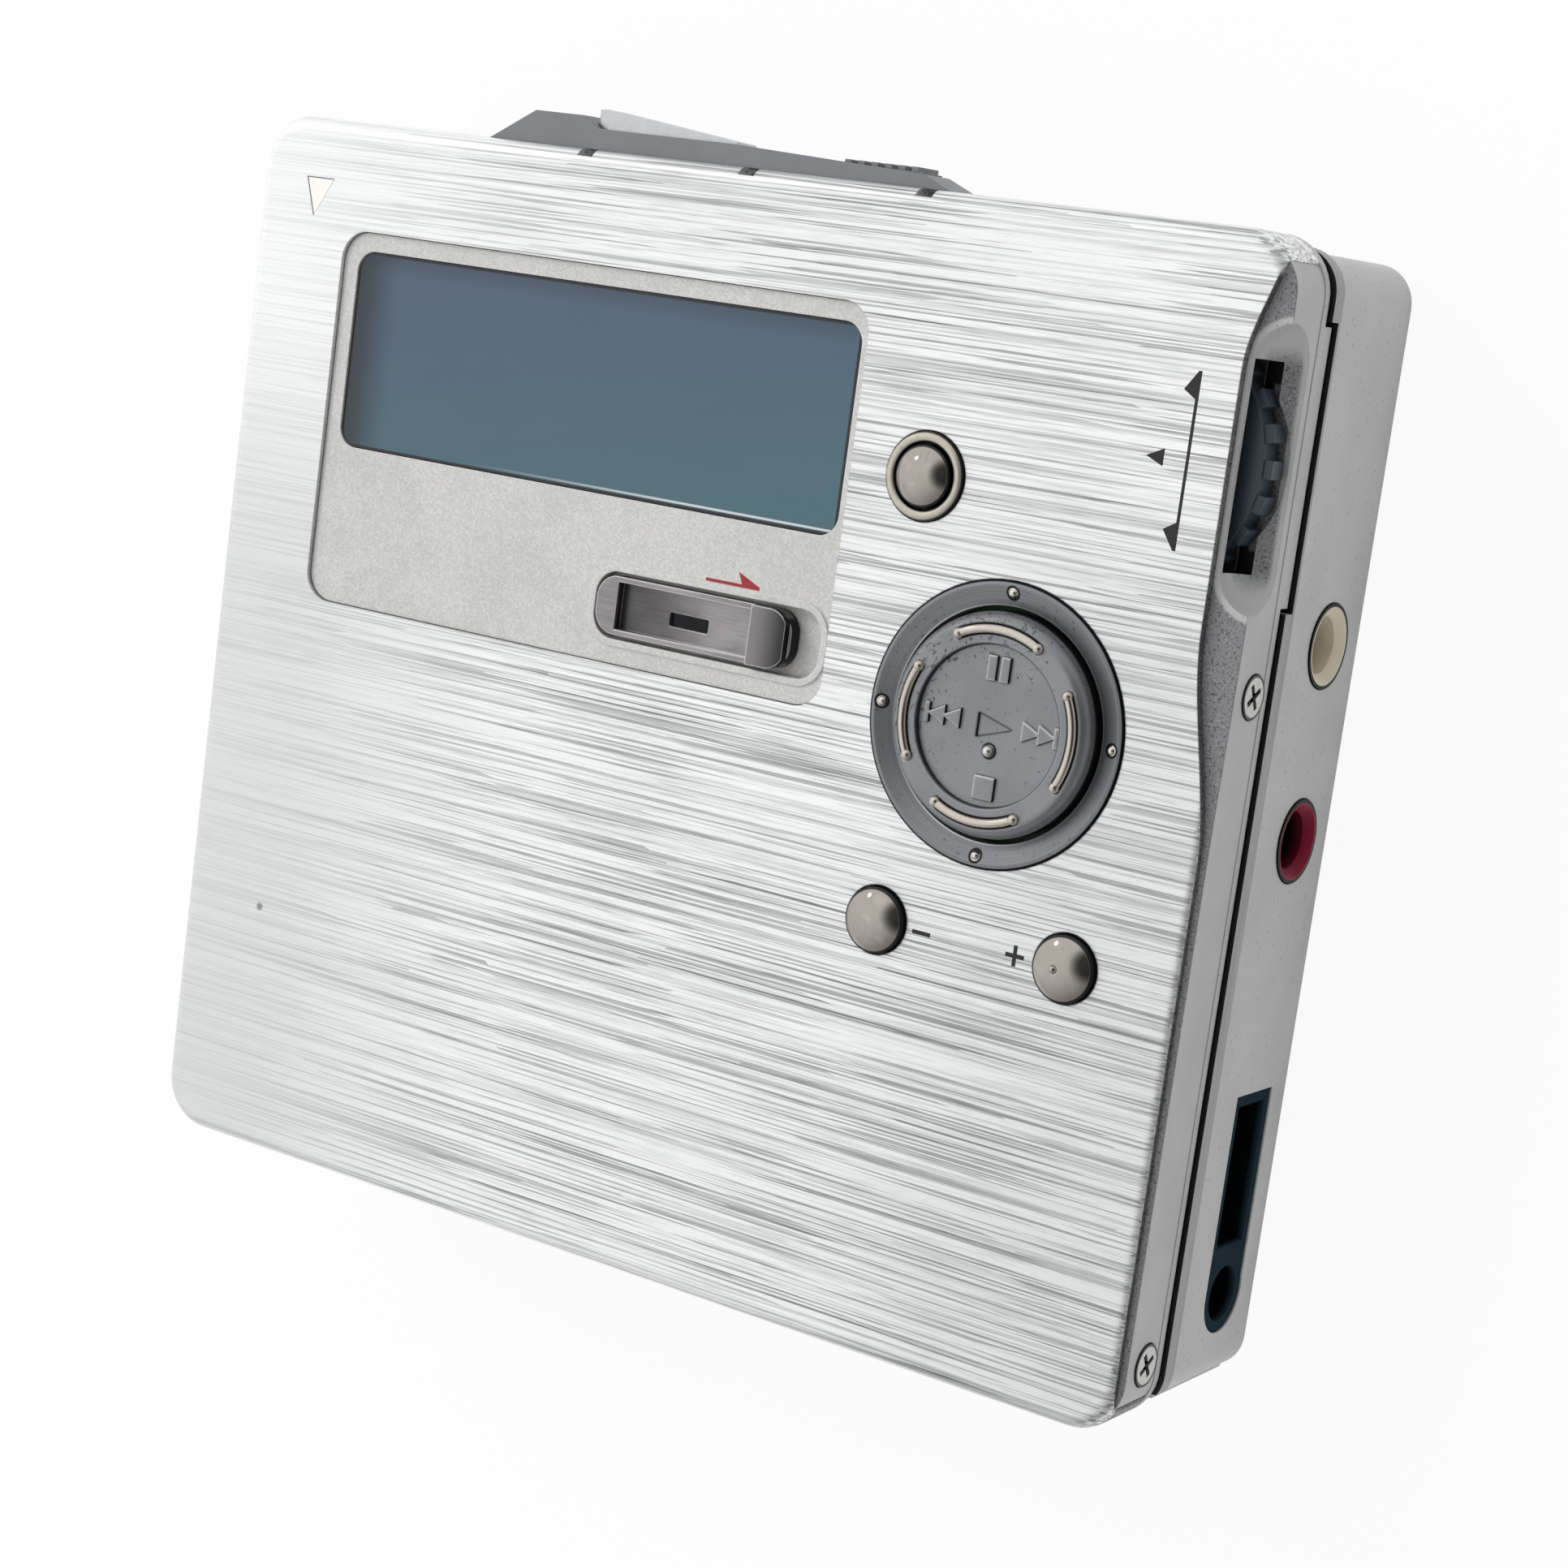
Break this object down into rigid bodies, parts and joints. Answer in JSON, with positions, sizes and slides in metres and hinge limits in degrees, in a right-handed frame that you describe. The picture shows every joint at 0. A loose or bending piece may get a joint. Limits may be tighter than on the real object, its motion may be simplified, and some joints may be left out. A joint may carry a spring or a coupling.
{
  "type": "portable minidisc recorder",
  "caption": "Flat rectangular pocket disc recorder with a hinged lid, display, round control key, jog wheel on the side, sliders and audio jacks; the lid opens on a disc holder.",
  "frame": {"origin": "centre of the outline on the back face, on which the recorder lies", "axes": "+X towards the jack side, +Y towards the latch edge, +Z out of the lid face"},
  "size_m": [0.079, 0.0746, 0.0185],
  "materials": {
    "case_shell": "matte silver paint",
    "lid_shell": "blasted satin",
    "plate": "brushed",
    "belt": "satin",
    "steel_hardware": "plain steel",
    "board": "solder resist",
    "chip": "moulded",
    "motor": "plated can",
    "pickup": "cast",
    "lens": "polished",
    "battery_wrap": "film wrap",
    "contact": "gold plated",
    "jack_cream": "moulded",
    "jack_maroon": "moulded",
    "jack_dark": "moulded",
    "jack_amber": "moulded",
    "bezel": "metallic paint",
    "window": "clear",
    "lcd": "display glass",
    "indicator": "translucent",
    "dial": "gunmetal",
    "key": "metallic paint",
    "bright": "polished",
    "slider": "satin",
    "housing": "moulded",
    "jog": "moulded"
  },
  "bodies": {
    "case": {"bottom_case": "case_shell", "trim_belt": "belt", "case_screws": "steel_hardware", "hinge_pins": "steel_hardware", "main_board": "board", "board_chips": "chip", "chassis": "steel_hardware", "spindle_motor": "motor", "guide_shafts": "steel_hardware", "sled_motor": "motor", "battery": "battery_wrap", "battery_contacts": "contact", "line_in_jack": "jack_cream", "mic_jack": "jack_maroon", "remote_jack": "jack_dark", "dc_jack": "jack_amber"},
    "turntable": {"turntable": "steel_hardware"},
    "lead_screw": {"lead_screw": "steel_hardware"},
    "sled": {"pickup_sled": "pickup"},
    "lens": {"objective_lens": "lens"},
    "battery_door": {"battery_door": "case_shell"},
    "lid": {"lid_frame": "lid_shell", "front_plate": "plate", "display_bezel": "bezel", "display_window": "window", "lcd_module": "lcd", "control_board": "board", "tact_switches": "contact", "indicator_lens": "indicator", "side_screws": "steel_hardware", "dial_ring": "dial", "group_collar": "bright", "top_housing": "housing"},
    "holder": {"disc_holder": "steel_hardware"},
    "head": {"overwrite_head": "pickup"},
    "rec_slider": {"rec_slider": "slider"},
    "group_button": {"group_button": "bright"},
    "volume_down": {"volume_down_button": "bright"},
    "volume_up": {"volume_up_button": "bright"},
    "key_plunger": {"key_plunger": "steel_hardware"},
    "key_rocker": {"key_rocker": "key"},
    "control_key": {"control_key": "key", "key_arcs": "bright"},
    "jog_carrier": {"jog_carrier": "jog", "jog_pin": "steel_hardware"},
    "jog_wheel": {"jog_wheel": "jog"},
    "open_slider": {"open_slider": "housing"},
    "mark_button": {"mark_button": "bright"}
  },
  "joints": [
    {"name": "lid_open", "type": "hinge", "parent": "case", "child": "lid", "pos_m": [0, -0.0338, 0.0119], "axis": [1, 0, 0], "range_deg": [0, 35]},
    {"name": "holder_tilt", "type": "hinge", "parent": "case", "child": "holder", "pos_m": [0, -0.0338, 0.0119], "axis": [1, 0, 0], "range_deg": [0, 21]},
    {"name": "turntable_spin", "type": "hinge", "parent": "case", "child": "turntable", "pos_m": [0, 0, 0.005], "axis": [0, 0, 1], "continuous": true},
    {"name": "sled_move", "type": "slide", "parent": "case", "child": "sled", "axis": [-1, 0, 0], "range_m": [0, 0.0165]},
    {"name": "lead_screw_turn", "type": "hinge", "parent": "case", "child": "lead_screw", "pos_m": [-0.02, -0.015, 0.0053], "axis": [1, 0, 0], "range_deg": [0, 1981]},
    {"name": "lens_focus", "type": "slide", "parent": "sled", "child": "lens", "axis": [0, 0, 1], "range_m": [-0.00025, 0.00025], "stiffness_N_per_m": 60},
    {"name": "head_track", "type": "slide", "parent": "holder", "child": "head", "axis": [-1, 0, 0], "range_m": [0, 0.0165]},
    {"name": "door_swing", "type": "hinge", "parent": "case", "child": "battery_door", "pos_m": [-0.0387, 0.0157, 0.004], "axis": [0, 0, 1], "range_deg": [0, 90]},
    {"name": "rec_slide", "type": "slide", "parent": "lid", "child": "rec_slider", "axis": [1, 0, 0], "range_m": [0, 0.0021], "stiffness_N_per_m": 200},
    {"name": "group_press", "type": "slide", "parent": "lid", "child": "group_button", "axis": [0, 0, -1], "range_m": [0, 0.0004], "stiffness_N_per_m": 600},
    {"name": "volume_down_press", "type": "slide", "parent": "lid", "child": "volume_down", "axis": [0, 0, -1], "range_m": [0, 0.0004], "stiffness_N_per_m": 600},
    {"name": "volume_up_press", "type": "slide", "parent": "lid", "child": "volume_up", "axis": [0, 0, -1], "range_m": [0, 0.0004], "stiffness_N_per_m": 600},
    {"name": "key_press", "type": "slide", "parent": "lid", "child": "key_plunger", "axis": [0, 0, -1], "range_m": [0, 0.0003], "stiffness_N_per_m": 600},
    {"name": "key_tilt_x", "type": "hinge", "parent": "key_plunger", "child": "key_rocker", "pos_m": [0.02425, 0.00495, 0.0156], "axis": [1, 0, 0], "range_deg": [-3, 3], "stiffness_Nm_per_rad": 0.02},
    {"name": "key_tilt_y", "type": "hinge", "parent": "key_rocker", "child": "control_key", "pos_m": [0.02425, 0.00495, 0.0156], "axis": [0, 1, 0], "range_deg": [-3, 3], "stiffness_Nm_per_rad": 0.02},
    {"name": "jog_press", "type": "slide", "parent": "lid", "child": "jog_carrier", "axis": [-1, 0, 0], "range_m": [0, 0.0008], "stiffness_N_per_m": 600},
    {"name": "jog_turn", "type": "hinge", "parent": "jog_carrier", "child": "jog_wheel", "pos_m": [0.03045, 0.0225, 0.0142], "axis": [0, 0, 1], "range_deg": [-20, 20], "stiffness_Nm_per_rad": 0.02},
    {"name": "open_slide", "type": "slide", "parent": "lid", "child": "open_slider", "axis": [-1, 0, 0], "range_m": [0, 0.002], "stiffness_N_per_m": 300},
    {"name": "mark_press", "type": "slide", "parent": "lid", "child": "mark_button", "axis": [0, -1, 0], "range_m": [0, 0.0004], "stiffness_N_per_m": 600}
  ],
  "couplings": [
    {"joint": "holder_tilt", "follows": "lid_open", "ratio": 0.6},
    {"joint": "lead_screw_turn", "follows": "sled_move", "rad_per_m": 2094.4},
    {"joint": "head_track", "follows": "sled_move", "ratio": 1}
  ]
}
